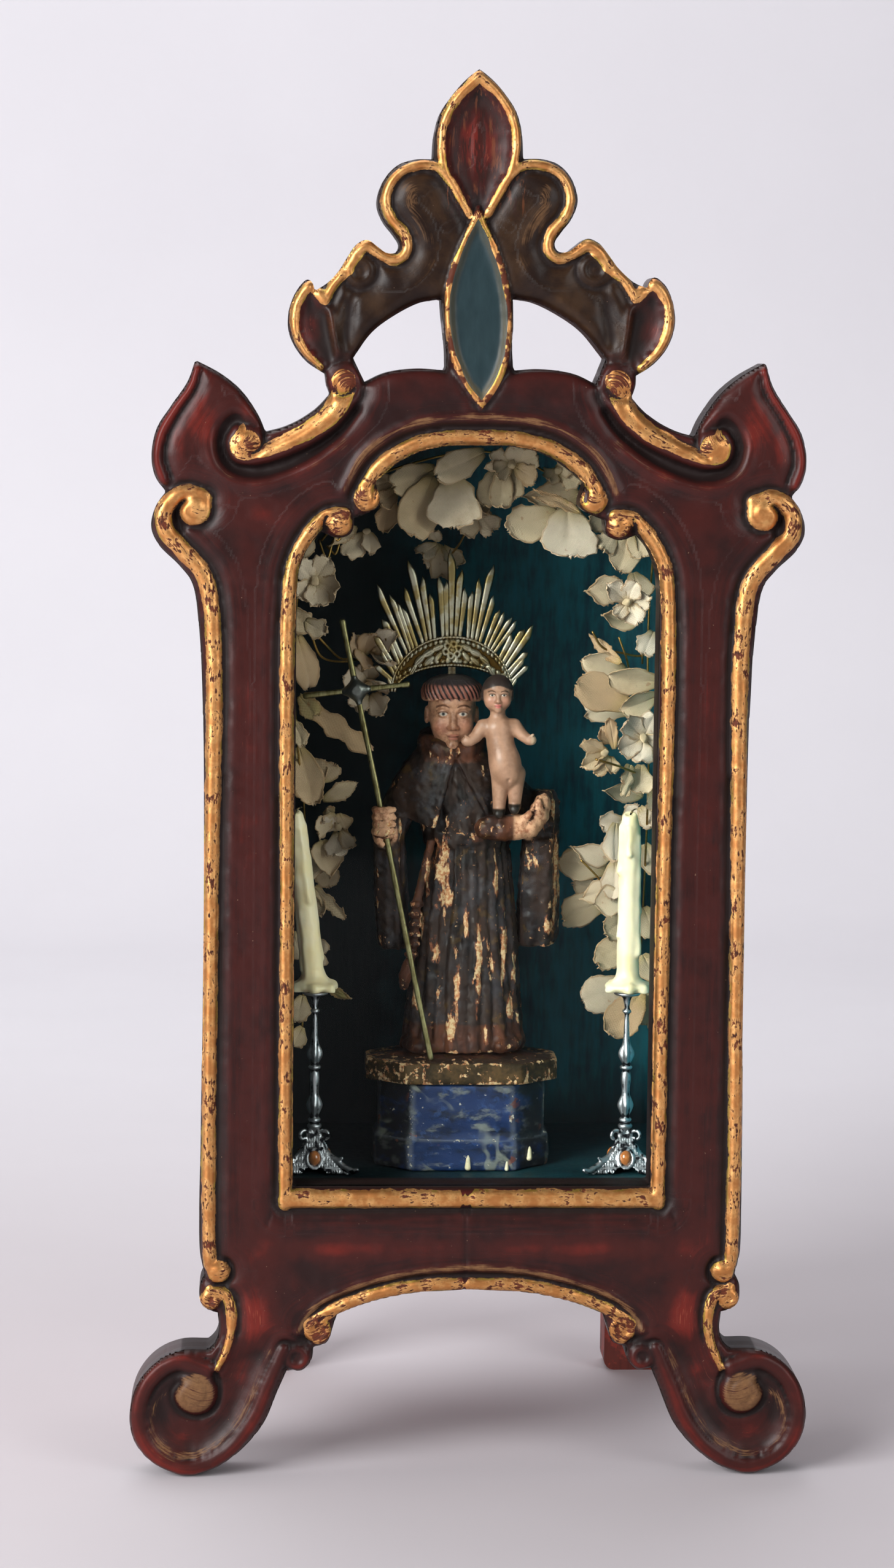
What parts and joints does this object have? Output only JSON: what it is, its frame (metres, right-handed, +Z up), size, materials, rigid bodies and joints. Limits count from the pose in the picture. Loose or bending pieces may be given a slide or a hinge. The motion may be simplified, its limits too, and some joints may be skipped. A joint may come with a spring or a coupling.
{
  "type": "wooden house shrine",
  "caption": "Small glazed home oratory: carved and gilt scrolled front on feet, vaulted box behind, with a carved saint, candles and a fabric garland inside.",
  "frame": {"origin": "centre of the footprint's bounding box, on the floor", "axes": "+Z up through the crest, the carved front faces -Y, +X to the right of someone who looks at the front"},
  "size_m": [0.2438, 0.16, 0.5],
  "materials": {
    "maroon_gilt_carving": "worn maroon over vermilion paint with gilt mouldings and dark patina",
    "clear_glass": "clear, polished",
    "teal_board": "teal paint, brushed",
    "orange_board": "orange-red paint, satin",
    "marbled_blue": "marbled blue paint with chips and wax drips",
    "carved_habit": "nearly black brown paint over cream ground, chipped",
    "child_flesh": "flesh paint, satin",
    "silver_gilt": "pressed sheet, worn gilding over silver colour",
    "old_brass": "tarnished",
    "cast_pewter": "bright cast white metal with dark hollows",
    "candle_wax": "wax, slightly translucent",
    "blossom_cloth": "stiffened fine plain weave, aged ivory"
  },
  "bodies": {
    "root": {"carved_front": "maroon_gilt_carving", "window_glass": "clear_glass", "case_floor": "teal_board", "case_side_left": "orange_board", "case_side_right": "orange_board", "case_vault": "orange_board", "case_back": "orange_board", "back_leg_left": "orange_board", "back_leg_right": "orange_board", "blue_pedestal": "marbled_blue", "saint_figure": "carved_habit", "child_figure": "child_flesh", "halo": "silver_gilt", "cross_staff": "old_brass", "candlestick_left": "cast_pewter", "candlestick_right": "cast_pewter", "candle_left": "candle_wax", "candle_right": "candle_wax", "garland_left": "blossom_cloth", "garland_right": "blossom_cloth", "garland_top": "blossom_cloth"}
  },
  "joints": []
}
